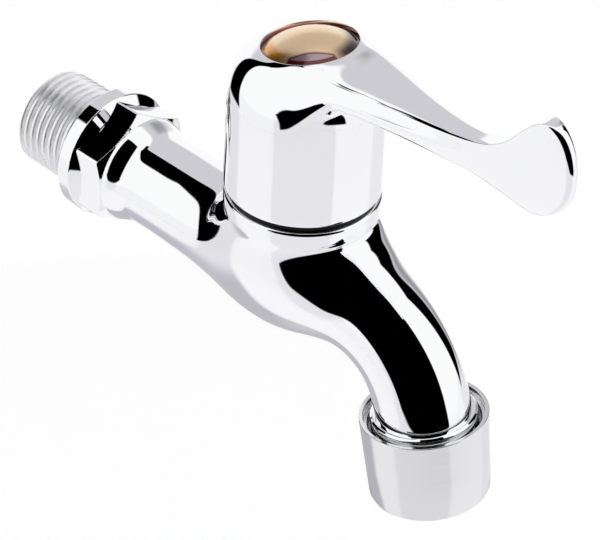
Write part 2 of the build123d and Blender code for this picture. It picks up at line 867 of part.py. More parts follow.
with BuildPart() as flow_disc:
    with BuildSketch(outlet_level(insert_top)):
        Circle(flow_disc_r)
        for row_r, count in zip(jet_row_r, jet_counts):
            with PolarLocations(row_r, count, start_angle=180 / count):
                Circle(flow_hole_r, mode=Mode.SUBTRACT)
    extrude(amount=flow_disc_t)

flow_disc.part.label = "flow_disc"
export_step(flow_disc.part, "parts/flow_disc.step")

with BuildPart() as aerator_screens:
    for place in (ledge - screen_t, ledge - 2 * screen_t - screen_space):
        with BuildSketch(outlet_level(place)):
            Circle(screen_r)
            with GridLocations(screen_pitch, screen_pitch, 5, 5):
                Rectangle(screen_pitch - screen_bar, screen_pitch - screen_bar, mode=Mode.SUBTRACT)
            with GridLocations(6 * screen_pitch, screen_pitch, 2, 1):
                Rectangle(screen_pitch - screen_bar, screen_pitch - screen_bar, mode=Mode.SUBTRACT)
        extrude(amount=screen_t)

aerator_screens.part.label = "aerator_screens"
export_step(aerator_screens.part, "parts/aerator_screens.step")
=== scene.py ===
import bpy
import bmesh
from math import atan2, cos, pi, radians, sin, sqrt, tan
from mathutils import Matrix, Vector


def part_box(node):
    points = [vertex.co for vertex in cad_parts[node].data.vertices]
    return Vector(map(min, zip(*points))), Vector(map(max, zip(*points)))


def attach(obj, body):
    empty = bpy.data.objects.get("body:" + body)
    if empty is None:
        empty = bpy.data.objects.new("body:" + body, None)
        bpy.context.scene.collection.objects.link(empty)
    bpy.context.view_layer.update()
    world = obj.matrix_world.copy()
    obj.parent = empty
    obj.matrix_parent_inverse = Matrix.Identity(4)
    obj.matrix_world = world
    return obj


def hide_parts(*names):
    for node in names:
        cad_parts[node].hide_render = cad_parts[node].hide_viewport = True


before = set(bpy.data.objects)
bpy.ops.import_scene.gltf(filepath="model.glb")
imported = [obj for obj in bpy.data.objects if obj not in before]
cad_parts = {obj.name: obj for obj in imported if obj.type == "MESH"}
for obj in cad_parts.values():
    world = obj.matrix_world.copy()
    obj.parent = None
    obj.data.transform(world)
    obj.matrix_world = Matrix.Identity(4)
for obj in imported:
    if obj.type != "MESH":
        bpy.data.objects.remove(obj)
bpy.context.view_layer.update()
MM = 0.001

# Casting: one brass body, cast with its core inside, polished and chromed. The inlet tube swells
# to the belly under the valve, the ring stands on the belly, and the spout bends down from it.
# It is a cage of round loops, each drawn out of the last, and subdivision rounds it.
valve_x = sum(corner.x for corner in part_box("headwork_housing")) / 2 / MM
ring_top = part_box("glide_ring")[0].z / MM
casting_points, ring_points = 16, 24
# x, z and radius of each loop: the outside from the hexagon to the outlet, then the waterway inside
casting_stations = (
    (9.0, 0.0, 11.3), (10.6, 0.0, 11.45), (12.0, 0.0, 10.93), (13.5, 0.0, 10.33), (14.6, 0.0, 9.95),
    (15.6, 0.0, 9.77), (17.0, 0.0, 9.75), (20.0, 0.0, 9.75), (24.5, -0.05, 9.8), (29.0, -0.1, 9.95),
    (33.5, 0.0, 10.3), (37.6, 0.1, 10.85), (41.5, 0.2, 11.5), (46.0, 0.3, 12.4), (50.5, 0.55, 13.05),
    (55.15, 1.0, 13.25), (59.8, 1.75, 12.85), (64.3, 2.15, 12.0), (68.8, 1.95, 10.95),
    (72.6, 1.25, 10.1), (76.0, 0.05, 9.6), (79.1, -1.6, 9.3), (81.9, -3.75, 9.15), (84.3, -6.35, 9.1),
    (86.2, -9.3, 9.15), (87.6, -12.5, 9.25), (88.75, -15.85, 9.4), (89.1, -17.8, 9.4),
)
waterway = ((48.5, -5.2, 3.9), (37.5, -2.2, 5.3), (26.0, 0.0, 6.5), (12.0, 0.0, 6.5), (9.05, 0.0, 6.5))
# The opening for the ring lies between two of the stations and above a height
opening_start, opening_end, opening_z = 12, 18, 5.8
fillet_run, fillet_rise, fillet_half = 1.9, 0.7, 9
belly_swell, swell_run, swell_side, swell_foot, swell_height = 0.217, 19, 8, -1, 7
# Radius and height of the ring's loops, outside and then inside
neck_loops = ((14.35, 14.5), (14.8, 15.5), (15.1, 16.1), (15.1, 17.4), (15.1, 18.8), (15.0, 19.25))
neck_sag = (1.5, 0.4)
mouth_loops = ((14.55, ring_top), (13.0, ring_top), (11.5, ring_top), (11.5, 17.65), (10.6, 17.65),
               (10.6, 2.0))


def station(x, z, toward):
    """A place in the tap's middle plane, with its local Z along the tube and its local X to the side."""
    along, side = Vector(toward).normalized(), Vector((0, 1, 0))
    axes = Matrix((side, along.cross(side), along)).transposed().to_4x4()
    return Matrix.Translation(Vector((x, 0, z)) * MM) @ axes


def new_items(made, kind):
    return [item for item in made["geom"] if isinstance(item, kind)]


def draw_tube(bm, rings, points):
    """Draws a tube through rings (place, radius). Its subdivided surface passes at the radius."""
    held = 3 / (2 + cos(2 * pi / points)) * MM
    loops = []
    for place, radius in rings:
        here = place @ Matrix.Scale(radius * held, 4)
        if loops:
            verts = new_items(bmesh.ops.extrude_edge_only(bm, edges=loops[-1]), bmesh.types.BMVert)
            bmesh.ops.transform(bm, matrix=here @ last.inverted(), verts=verts)
        else:
            verts = bmesh.ops.create_circle(bm, segments=points, radius=1, matrix=here)["verts"]
        loops.append(list(dict.fromkeys(
            edge for vert in verts for edge in vert.link_edges if edge.other_vert(vert) in verts)))
        last = here
    return loops


def sharpen(bm, loops):
    """Creases keep turned corners sharp under the subdivision."""
    crease = bm.edges.layers.float["crease_edge"]
    for edge in (edge for edges in loops for edge in edges):
        edge[crease] = 1


def finish_mesh(bm, name):
    bmesh.ops.recalc_face_normals(bm, faces=bm.faces)
    for face in bm.faces:
        face.smooth = True
    mesh = bpy.data.meshes.new(name)
    bm.to_mesh(mesh)
    bm.free()
    piece = bpy.data.objects.new(name, mesh)
    bpy.context.scene.collection.objects.link(piece)
    return piece


def subdivide(piece, levels):
    rounding = piece.modifiers.new("subdivision", "SUBSURF")
    rounding.levels = rounding.render_levels = levels


bm = bmesh.new()
bm.edges.layers.float.new("crease_edge")
rings = [(station(x, z, (-1, 0, 0)), radius) for x, z, radius in waterway]
for number, (x, z, radius) in enumerate(casting_stations):
    before = casting_stations[max(number - 1, 0)]
    after = casting_stations[min(number + 1, len(casting_stations) - 1)]
    rings.append((station(x, z, (after[0] - before[0], 0, after[1] - before[1])), radius))
loops = draw_tube(bm, rings, casting_points)
for end in (loops[0], loops[-1]):
    bmesh.ops.contextual_create(bm, geom=end)
# The top of the belly opens for the ring
low_x, high_x = casting_stations[opening_start][0], casting_stations[opening_end][0]
opened = []
for face in bm.faces:
    centre = face.calc_center_median() / MM
    if low_x < centre.x < high_x and centre.z > opening_z:
        opened.append(face)
bmesh.ops.delete(bm, geom=opened, context="FACES")
opening = [edge for edge in bm.edges if edge.is_boundary]
# A fillet runs up to the ring along the tube, and the belly swells to a barrel at the sides
for vert in {vert for edge in opening for vert in edge.verts}:
    away = vert.co.x / MM - valve_x
    if abs(away) > swell_run / 2 and abs(vert.co.y) < fillet_half * MM:
        vert.co.x += fillet_run * MM * (1 if away > 0 else -1)
        vert.co.z += fillet_rise * MM
for vert in bm.verts:
    away, height = vert.co.x / MM - valve_x, vert.co.z / MM - swell_foot
    if abs(vert.co.y) > swell_side * MM and abs(away) < swell_run and height > 0:
        vert.co.y *= 1 + belly_swell * height / swell_height * (1 - (away / swell_run) ** 2)
up = (0, 0, 1)
rings = [(station(valve_x, z, up), radius) for radius, z in neck_loops + mouth_loops]
loops = draw_tube(bm, rings, ring_points)
# The ring's lowest loops sag at the sides, where the belly falls away
for edges, sag in zip(loops, neck_sag):
    for vert in {vert for edge in edges for vert in edge.verts}:
        vert.co.z -= sag * MM * (vert.co.y / MM / neck_loops[0][0]) ** 4
bmesh.ops.bridge_loops(bm, edges=opening + loops[0])
bmesh.ops.contextual_create(bm, geom=loops[-1])
sharpen(bm, loops[len(neck_loops) + 2:])
casting = finish_mesh(bm, "casting")
subdivide(casting, 3)


def add_node(tree, kind, inputs=None, **options):
    """Adds a shader node, sets its options, and fills or links its inputs."""
    node = tree.nodes.new("ShaderNode" + kind)
    for option, value in options.items():
        setattr(node, option, value)
    for name, value in (inputs or {}).items():
        if isinstance(value, bpy.types.NodeSocket):
            tree.links.new(value, node.inputs[name])
        else:
            node.inputs[name].default_value = value
    return node


def new_group(name, numbers, vectors, results):
    """A node group with number and vector inputs and number outputs, and its two end nodes."""
    tree = bpy.data.node_groups.new(name, "ShaderNodeTree")
    for label in numbers:
        tree.interface.new_socket(label, in_out="INPUT", socket_type="NodeSocketFloat")
    for label in vectors:
        tree.interface.new_socket(label, in_out="INPUT", socket_type="NodeSocketVector")
    for label in results:
        tree.interface.new_socket(label, in_out="OUTPUT", socket_type="NodeSocketFloat")
    return tree, tree.nodes.new("NodeGroupInput"), tree.nodes.new("NodeGroupOutput")


def new_finish(name, **plain):
    """A material with the plain values of its shader set."""
    material = bpy.data.materials.new(name)
    material.use_nodes = True
    shader = material.node_tree.nodes["Principled BSDF"]
    for label, value in plain.items():
        shader.inputs[label.replace("_", " ")].default_value = value
    return material, material.node_tree, shader


def add_relief(tree, shader, height, distance):
    bump = add_node(tree, "Bump", {"Height": height, "Distance": distance * MM})
    tree.links.new(bump.outputs["Normal"], shader.inputs["Normal"])


def dress(piece, material, body, node):
    """Gives a new piece its finish and its body, and hides the CAD node that it stands for."""
    piece.data.materials.clear()
    piece.data.materials.append(material)
    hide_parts(node)
    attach(piece, body)


# Buffing leaves long shallow waves in the brass under the plating, and handling leaves faint smears
wave_scale, smear_scale, smear_detail = 90, 45, 3
polish, given, result = new_group("buffed_plating", ("Dullest", "Brightest"), (), ("Roughness", "Height"))
place = add_node(polish, "TexCoord").outputs["Object"]
waves = add_node(polish, "TexNoise", {"Vector": place, "Scale": wave_scale, "Detail": 0})
smears = add_node(polish, "TexNoise", {"Vector": place, "Scale": smear_scale, "Detail": smear_detail})
dulled = add_node(polish, "MapRange", {
    "Value": smears.outputs["Fac"], "From Min": 0.35, "From Max": 0.7,
    "To Min": given.outputs["Brightest"], "To Max": given.outputs["Dullest"],
}, interpolation_type="SMOOTHSTEP")
polish.links.new(dulled.outputs["Result"], result.inputs["Roughness"])
polish.links.new(waves.outputs["Fac"], result.inputs["Height"])

chrome, tree, shader = new_finish("polished_chrome", Base_Color=(0.955, 0.957, 0.965, 1), Metallic=1)
buffed = add_node(tree, "Group", node_tree=polish)
buffed.inputs["Dullest"].default_value, buffed.inputs["Brightest"].default_value = 0.045, 0.015
tree.links.new(buffed.outputs["Roughness"], shader.inputs["Roughness"])
add_relief(tree, shader, buffed.outputs["Height"], 0.012)
dress(casting, chrome, "body", "tap_body")

# Inlet: the wall flange, the wrench hexagon and the G 1/2 thread are turned and milled on the
# casting's end. The flange hides the hole in the wall, and its cone runs into the hexagon's flats.
# The thread is cut after polishing, so its plating stays dull.
bore_r = 6.5
flange_r, flange_t, cone_end, flange_edge = 13.65, 3.25, 5.05, 0.25
hex_af, hex_corner_r, hex_end, hex_front = 23.0, 13.15, 9.7, 10.7
hex_edge, hex_corner, hex_lip, hex_inset = 0.12, 0.35, 0.15, 0.02
inside_by = 1
turned_steps = 96


def turn(name, profile, place, steps=turned_steps):
    """Spins a closed profile of (radius, height) points around the place's Z axis."""
    bm = bmesh.new()
    verts = [bm.verts.new(Vector((radius, 0, height)) * MM) for radius, height in profile]
    outline = [bm.edges.new((one, other)) for one, other in zip(verts, verts[1:] + verts[:1])]
    bmesh.ops.spin(bm, geom=verts + outline, cent=(0, 0, 0), axis=(0, 0, 1), angle=2 * pi, steps=steps,
                   use_merge=True)
    bmesh.ops.remove_doubles(bm, verts=bm.verts, dist=1e-6)
    bmesh.ops.transform(bm, matrix=place, verts=bm.verts)
    return finish_mesh(bm, name)


def round_edges(piece, width, segments=3, angle=radians(25)):
    edges = piece.modifiers.new("edges", "BEVEL")
    edges.width, edges.segments = width * MM, segments
    edges.limit_method, edges.angle_limit = "ANGLE", angle
    edges.harden_normals = True


def carve(piece, operation, other):
    """Joins or cuts a piece with a second one, which is used up."""
    cut = piece.modifiers.new("cut", "BOOLEAN")
    cut.operation, cut.object, cut.solver = operation, other, "EXACT"
    bpy.context.view_layer.update()
    made = bpy.data.meshes.new_from_object(piece.evaluated_get(bpy.context.evaluated_depsgraph_get()))
    piece.modifiers.clear()
    piece.data = made
    bpy.data.objects.remove(other)


inlet_place = station(0, 0, (1, 0, 0))
flange = turn("wall_flange", (
    (bore_r, 0.0), (flange_r, 0.0), (flange_r, flange_t), (hex_af / 2, cone_end),
    (hex_af / 2, cone_end + inside_by), (bore_r, cone_end + inside_by)), inlet_place)
round_edges(flange, flange_edge)
bm = bmesh.new()
bmesh.ops.create_circle(bm, cap_ends=True, segments=6, radius=hex_af / sqrt(3) * MM,
                        matrix=station(flange_t, 0, (1, 0, 0)))
drawn = bmesh.ops.extrude_face_region(bm, geom=bm.faces[:])
bmesh.ops.translate(bm, vec=(hex_front * MM - flange_t * MM, 0, 0),
                    verts=new_items(drawn, bmesh.types.BMVert))
corners = [edge for edge in bm.edges if abs(edge.verts[0].co.x - edge.verts[1].co.x) > MM]
bmesh.ops.bevel(bm, geom=corners, offset=hex_corner * MM, affect="EDGES", segments=4, profile=0.5,
                material=-1)
hexagon = finish_mesh(bm, "wrench_hexagon")
carve(hexagon, "INTERSECT", turn("hexagon_corners", (
    (bore_r, flange_t - inside_by), (hex_corner_r, flange_t - inside_by), (hex_corner_r, hex_end),
    (hex_af / 2 - hex_lip, hex_front - hex_inset), (bore_r, hex_front - hex_inset)), inlet_place))
round_edges(hexagon, hex_edge, 2)
for piece in (flange, hexagon):
    dress(piece, chrome, "body", "tap_body")

# The thread's ridge winds along the stub, and its first turn is chamfered off
thread_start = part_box("tap_body")[0].x / MM
thread_r, thread_pitch, thread_depth, thread_chamfer = 10.45, 1.814, 1.16, 0.4
thread_lead, thread_end, thread_spare, ridge_steps = 0.55, 0.3, 0.01, 64
root_r = thread_r - thread_depth
# The ridge's section: radius, and distance along the stub to either side of its middle
flank = ((root_r - 0.4, 0.85), (root_r, 0.86), (thread_r - 0.16, 0.42), (thread_r, 0.3))
ridge = flank + tuple((radius, -aside) for radius, aside in reversed(flank))
ridge_turns = int((flange_t - thread_start) / thread_pitch) + 1
bm = bmesh.new()
verts = [bm.verts.new(Vector((radius, 0, height)) * MM) for radius, height in ridge]
outline = [bm.edges.new((one, other)) for one, other in zip(verts, verts[1:] + verts[:1])]
wound = bmesh.ops.spin(
    bm, geom=verts + outline, cent=(0, 0, 0), axis=(0, 0, 1), angle=2 * pi * ridge_turns,
    steps=ridge_steps * ridge_turns, dvec=(0, 0, thread_pitch / ridge_steps * MM))
for end in ([edge for edge in bm.edges if edge.is_boundary and edge in outline],
            [item for item in wound["geom_last"] if isinstance(item, bmesh.types.BMEdge)]):
    bmesh.ops.contextual_create(bm, geom=end)
bmesh.ops.transform(bm, matrix=station(thread_start - thread_lead, 0, (1, 0, 0)), verts=bm.verts)
thread = finish_mesh(bm, "inlet_thread")
carve(thread, "UNION", turn("thread_core", (
    (bore_r, thread_start - inside_by), (root_r, thread_start - inside_by),
    (root_r, flange_t - inside_by), (bore_r, flange_t - inside_by)), inlet_place))
carve(thread, "INTERSECT", turn("thread_envelope", (
    (bore_r - 0.5, thread_start), (thread_r - thread_chamfer, thread_start),
    (thread_r + thread_spare, thread_start + thread_chamfer), (thread_r + thread_spare, thread_end),
    (bore_r - 0.5, thread_end)), inlet_place))
thread.data.set_sharp_from_angle(angle=radians(24))
# Dull plating over tool marks, lighter on the worn crests, with painted shade darker down in the grooves
dull, tree, shader = new_finish("dull_plating", Metallic=0.85)
place = add_node(tree, "TexCoord").outputs["Object"]
grains = add_node(tree, "TexNoise", {"Vector": place, "Scale": 900, "Detail": 6, "Roughness": 0.65})
patches = add_node(tree, "TexNoise", {"Vector": place, "Scale": 260, "Detail": 2})
outward = add_node(tree, "VectorMath", {0: place, 1: (0, 1, 1)}, operation="MULTIPLY").outputs["Vector"]
outward = add_node(tree, "VectorMath", {0: outward}, operation="LENGTH").outputs["Value"]
raised = add_node(tree, "MapRange", {
    "Value": outward, "From Min": root_r * MM, "From Max": thread_r * MM}).outputs["Result"]
# Grain and height together: worn crests lighter, painted shade in the grooves
crest_wear_and_groove_shade = add_node(tree, "Math", {0: grains.outputs["Fac"], 1: raised}, operation="ADD").outputs[0]
tone = add_node(tree, "ValToRGB", {"Fac": crest_wear_and_groove_shade})
stops = tone.color_ramp.elements
stops[0].position, stops[0].color = 0.35, (0.42, 0.42, 0.44, 1)
stops[1].position, stops[1].color = 1.0, (0.97, 0.97, 0.98, 1)
rough = add_node(tree, "MapRange", {"Value": patches.outputs["Fac"], "From Min": 0.3, "From Max": 0.7,
                                    "To Min": 0.24, "To Max": 0.42})
tree.links.new(tone.outputs["Color"], shader.inputs["Base Color"])
tree.links.new(rough.outputs["Result"], shader.inputs["Roughness"])
add_relief(tree, shader, grains.outputs["Fac"], 0.015)
dress(thread, dull, "body", "tap_body")

# Headwork: a turned brass housing screwed in the ring, with its spindle, ceramic discs, seal and
# O-rings. The spindle turns one disc over the other through a quarter turn.
turned_metal, given, result = new_group(
    "turning_marks", ("Finest", "Coarsest"), ("Place",), ("Roughness", "Height"))
marks_round, marks_along = 40, 6000
rings_only = add_node(turned_metal, "Mapping", {
    "Vector": given.outputs["Place"], "Scale": (marks_round, marks_round, marks_along)})
marks = add_node(turned_metal, "TexNoise", {
    "Vector": rings_only.outputs["Vector"], "Scale": 1, "Detail": 2})
rough = add_node(turned_metal, "MapRange", {
    "Value": marks.outputs["Fac"], "From Min": 0.3, "From Max": 0.7,
    "To Min": given.outputs["Finest"], "To Max": given.outputs["Coarsest"]})
turned_metal.links.new(rough.outputs["Result"], result.inputs["Roughness"])
turned_metal.links.new(marks.outputs["Fac"], result.inputs["Height"])


def turned_finish(name, colour, finest, coarsest, relief, turned=(0, 0, 0)):
    """Metal with turning marks around an axis, which stands on Z before it is turned."""
    material, tree, shader = new_finish(name, Base_Color=colour, Metallic=1)
    coords = add_node(tree, "TexCoord")
    place = add_node(tree, "Mapping", {"Vector": coords.outputs["Object"], "Rotation": turned})
    marks = add_node(tree, "Group", {}, node_tree=turned_metal)
    marks.inputs["Finest"].default_value, marks.inputs["Coarsest"].default_value = finest, coarsest
    tree.links.new(place.outputs["Vector"], marks.inputs["Place"])
    tree.links.new(marks.outputs["Roughness"], shader.inputs["Roughness"])
    add_relief(tree, shader, marks.outputs["Height"], relief)
    return material


def speckled_finish(name, dark, light, scale, relief, **plain):
    """A moulded or fired material, slightly uneven in tone and surface."""
    material, tree, shader = new_finish(name, **plain)
    place = add_node(tree, "TexCoord").outputs["Object"]
    grain = add_node(tree, "TexNoise", {"Vector": place, "Scale": scale, "Detail": 4})
    tone = add_node(tree, "ValToRGB", {"Fac": grain.outputs["Fac"]})
    for stop, colour, at in zip(tone.color_ramp.elements, (dark, light), (0.35, 0.65)):
        stop.position, stop.color = at, (*colour, 1)
    tree.links.new(tone.outputs["Color"], shader.inputs["Base Color"])
    add_relief(tree, shader, grain.outputs["Fac"], relief)
    return material


def dress_nodes(material, *names):
    for name in names:
        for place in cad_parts[name].material_slots:
            place.material = material


brass = turned_finish("turned_brass", (0.83, 0.62, 0.29, 1), 0.16, 0.34, 0.02)
steel = turned_finish("plain_steel", (0.68, 0.68, 0.69, 1), 0.2, 0.36, 0.015)
rubber = speckled_finish("black_rubber", (0.012, 0.012, 0.013), (0.03, 0.03, 0.031), 2600, 0.03,
                         Roughness=0.55)
ceramic = speckled_finish("lapped_ceramic", (0.83, 0.81, 0.76), (0.9, 0.89, 0.85), 3000, 0.003,
                          Roughness=0.22, Coat_Weight=0.3, Coat_Roughness=0.08)
acetal = speckled_finish("natural_acetal", (0.8, 0.8, 0.77), (0.86, 0.86, 0.84), 500, 0.015,
                         Roughness=0.38)
dress_nodes(brass, "headwork_housing", "headwork_stem")
dress_nodes(rubber, "headwork_o_ring", "stem_o_rings", "disc_seal")
dress_nodes(ceramic, "fixed_disc", "moving_disc")
dress_nodes(steel, "seal_ring", "stem_circlip")
dress_nodes(acetal, "stem_washer")

# Glide ring: black moulded nylon. It fills the gap between the ring and the lever's cap, and only
# its edge shows.
nylon = speckled_finish("black_nylon", (0.002, 0.002, 0.002), (0.006, 0.006, 0.006), 1800, 0.02,
                        Roughness=0.35, Specular_IOR_Level=0.15)
dress_nodes(nylon, "glide_ring")

# Lever: one zinc casting, chromed. A deep cap covers the valve, its shoulder runs out into a flat
# arm, and the arm turns up into a thin paddle. Inside, a boss takes the spline bush and the screw.
cap_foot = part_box("lever_handle")[0].z / MM
cap_top, cap_tilt = 51.45, radians(9.8)
# Radius and height of the cap's loops; the seat's heights are measured from the cap's top
cap_loops = ((15.15, cap_foot + 0.35), (15.12, cap_foot + 2.5), (15.05, 31.0), (14.95, 37.0))
shoulder_r, shoulder_z, shoulder_run, shoulder_steps = 14.9, 40.6, 5.7, 6
seat_r, seat_depth = 8.95, 2.4
seat_loops = ((seat_r + 0.12, 0), (seat_r, -0.15), (seat_r, -seat_depth), (5.8, -seat_depth))
cavity_loops = ((5.8, 45.4), (2.2, 45.4), (2.2, 43.3), (5.6, 43.3), (5.6, 34.9), (7.2, 34.9), (7.2, 45.5),
                (9.4, 45.5), (13.2, 41.5), (13.65, 39.0), (13.9, cap_foot), (14.9, cap_foot))
patch_half, side_column = radians(47), 6
# The shoulder's sides run straight on into the arm's. For each row: its half-width and height beside
# the valve, its height at the arm's root, and how far its line turns in
sweeps = {4: (9.45, 51.4, 51.5, radians(11.5)), 3: (11.0, 50.2, 50.05, radians(13.5)),
          2: (12.1, 48.2, 47.8, radians(14.5)), 1: (11.7, 46.0, 45.4, radians(14.5))}
# The top edge has a line of its own: its half-width and height at each place of the shoulder
ridge_line = ((10.75, 50.75), (10.0, 51.15), (8.7, 51.38), (7.5, 51.45))
top_row, edge_column = 4, 3
shoulder_sag, root_swell = (1.3, 1.2), (1.015, 1.05)
sweep_step, sweep_in, root_crease, edge_crease, edge_start = 3.3, 0.963, 0.25, 0.6, 79
# Arm stations: x, z and half-width of the upper edge, then of the lower edge, and the top's crown
arm_stations = (
    (67.6, 51.35, 6.8, 68.3, 46.5, 6.5, 0.5), (71.5, 51.2, 5.85, 71.6, 46.4, 6.0, 0.45),
    (76.0, 50.87, 4.9, 75.9, 46.2, 5.1, 0.38), (81.0, 50.45, 4.1, 81.5, 45.6, 4.0, 0.5),
    (86.0, 50.2, 3.25, 86.2, 45.3, 3.3, 0.45), (90.5, 50.3, 2.6, 90.5, 45.0, 2.7, 0.38),
    (94.5, 50.75, 2.1, 94.8, 44.7, 1.85, 0.3), (98.0, 51.8, 2.1, 98.8, 44.2, 1.8, 0.2),
    (101.0, 53.7, 2.05, 102.3, 43.6, 1.75, 0.1), (103.3, 56.2, 2.0, 105.2, 43.1, 1.75, 0.1),
    (105.4, 59.1, 1.95, 107.8, 42.75, 1.7, 0.1), (108.2, 61.6, 1.8, 110.2, 43.0, 1.6, 0.1),
)
paddle_end = ((112.8, 44.3), (115.1, 47.6), (115.55, 52.0), (114.6, 57.2), (111.8, 61.2))
paddle_end_half, paddle_round = 1.4, (0, 0.05, 0.4, 0.9)
# How far each column lies from the middle to the arm's edge, and each row from its foot to its top
column_share = (0, 0.4, 0.74, 1)
row_share = (0, 0.2, 0.5, 0.8, 1)

bm = bmesh.new()
bm.edges.layers.float.new("crease_edge")
column, row = bm.verts.layers.int.new("column"), bm.verts.layers.int.new("row")
tilted = (-sin(cap_tilt), 0, cos(cap_tilt))
rings = [(station(valve_x, z, up), radius) for radius, z in cap_loops]
for step in range(shoulder_steps + 1):
    quarter = pi / 2 * step / shoulder_steps
    lean = cap_tilt * sin(quarter)
    place = station(valve_x, shoulder_z + (cap_top - shoulder_z) * sin(quarter), (-sin(lean), 0, cos(lean)))
    rings.append((place, shoulder_r - shoulder_run * (1 - cos(quarter))))
rings += [(station(valve_x + tilted[0] * height, cap_top + tilted[2] * height, tilted), radius)
          for radius, height in seat_loops]
rings += [(station(valve_x, z, up), radius) for radius, z in cavity_loops]
loops = draw_tube(bm, rings, ring_points)
bmesh.ops.bridge_loops(bm, edges=loops[-1] + loops[0])
sharpen(bm, loops[len(rings) - len(cavity_loops) - 2:-1])


def swept_half(line, x):
    beside_valve, turned_in = sweeps[line][0], sweeps[line][3]
    return beside_valve - (x - valve_x) * tan(turned_in)


# The arm grows from the patch of the shoulder that faces the spout
patch = set()
for number, edges in enumerate(loops[len(cap_loops) + 1:len(cap_loops) + shoulder_steps]):
    for vert in {vert for edge in edges for vert in edge.verts}:
        turned = atan2(vert.co.y, vert.co.x - valve_x * MM)
        place = round(turned / (2 * pi / ring_points))
        if abs(turned) < patch_half:
            patch.add(vert)
        if abs(place) <= side_column:
            vert[column], vert[row] = place, number
        if number < 2 and 4 <= abs(place) <= side_column:
            vert.co.z -= shoulder_sag[number] * MM
        if number < 2 and abs(place) in (2, 3):
            vert.co.x = valve_x * MM + (vert.co.x - valve_x * MM) * root_swell[number]
            vert.co.y *= root_swell[number]
        if number in (2, 3) and abs(place) == side_column + 1:
            vert.co.x = valve_x * MM + (vert.co.x - valve_x * MM) * sweep_in
            vert.co.y *= sweep_in
        if number in (2, 3, top_row) and edge_column <= abs(place) <= side_column:
            steps = side_column - abs(place)
            x = valve_x + sweep_step * steps
            side_z, root_z = sweeps[number][1:3]
            half, z = swept_half(number, x), side_z + (root_z - side_z) * steps / edge_column
            if number == top_row:
                half, z = ridge_line[steps]
            vert.co = Vector((x, half * (1 if place > 0 else -1), z)) * MM
arm_face = [face for face in bm.faces if all(vert in patch for vert in face.verts)]


def grow(bm, faces, outline, crown=0, rounded=(0, 0, 0, 0)):
    """Extrudes the arm's end face and sets it to the next outline of (x, z, half-width) for each row."""
    made = bmesh.ops.extrude_face_region(bm, geom=faces)
    bmesh.ops.delete(bm, geom=faces, context="FACES")
    for vert in new_items(made, bmesh.types.BMVert):
        x, z, half = outline[vert[row]]
        if vert[row] in (1, 2, 3):
            half = max(half, swept_half(vert[row], x))
        if vert[row] == top_row and abs(vert[column]) < edge_column:
            z += crown
        side = column_share[abs(vert[column])] * (1 if vert[column] > 0 else -1)
        vert.co = Vector((x - rounded[abs(vert[column])], side * half, z)) * MM
    return new_items(made, bmesh.types.BMFace)


for *ends, crown in arm_stations:
    top, bottom = Vector(ends[:3]), Vector(ends[3:])
    arm_face = grow(bm, arm_face, [bottom.lerp(top, share) for share in row_share], crown)
grow(bm, arm_face, [(x, z, paddle_end_half) for x, z in paddle_end], 0, paddle_round)
crease = bm.edges.layers.float["crease_edge"]
for edge in bm.edges:
    if all(vert[row] == top_row and edge_column <= abs(vert[column]) < side_column for vert in edge.verts):
        edge[crease] = edge_crease if edge.verts[0].co.x > edge_start * MM else root_crease
lever = finish_mesh(bm, "lever")
subdivide(lever, 3)
dress(lever, chrome, "lever", "lever_handle")
# What holds it on the spindle
dress_nodes(brass, "spline_bush")
dress_nodes(steel, "handle_screw", "screw_washer")

# Button: an amber disc with a clear domed face over a mirrored back, pressed in the cap's seat. It
# hides the lever's screw. Its colour deepens towards the rim, where a dark band is painted shade of the
# seat's recess, and its face carries painted reflections and a painted highlight.
button_r, button_rim_drop, button_dome, button_foot = seat_r - 0.06, 0.9, 1.88, 2.3
button_edge, pole_r, dome_rings = 0.12, 0.001, 14
dome_r = (button_r ** 2 + (button_dome + button_rim_drop) ** 2) / (2 * (button_dome + button_rim_drop))
button_place = station(valve_x, cap_top, tilted)
face = [(pole_r, button_dome)]
for step in range(1, dome_rings + 1):
    out = button_r * sin(pi / 2 * step / dome_rings)
    face.append((out, button_dome - dome_r + sqrt(dome_r ** 2 - out ** 2)))


def between(tree, value, low, high, soft):
    """1 between the two limits and 0 outside, with soft edges."""
    sides = []
    for limit, first, last in ((low, 0, 1), (high, 1, 0)):
        start = add_node(tree, "Math", {0: value, 1: limit}, operation="SUBTRACT").outputs[0]
        sides.append(add_node(tree, "MapRange", {
            "Value": start, "From Min": -soft, "From Max": soft, "To Min": first, "To Max": last},
            interpolation_type="SMOOTHSTEP").outputs["Result"])
    return add_node(tree, "Math", {0: sides[0], 1: sides[1]}, operation="MULTIPLY").outputs[0]


def laid_over(tree, under, over, mask):
    """Lays one colour over another where the mask is 1."""
    mix = add_node(tree, "Mix", {"Factor": mask}, data_type="RGBA")
    sockets = {socket.identifier: socket for socket in mix.inputs}
    for label, colour in (("A_Color", under), ("B_Color", over)):
        if isinstance(colour, bpy.types.NodeSocket):
            tree.links.new(colour, sockets[label])
        else:
            sockets[label].default_value = colour
    return {socket.identifier: socket for socket in mix.outputs}["Result_Color"]


button = turn("amber_button", [(pole_r, -button_foot), *face, (button_r, -button_foot)], button_place)
round_edges(button, button_edge, 2, radians(35))
amber, tree, shader = new_finish("amber_lens", Metallic=0.93, Coat_Weight=1, Coat_Roughness=0.02,
                                 Coat_IOR=1.5)
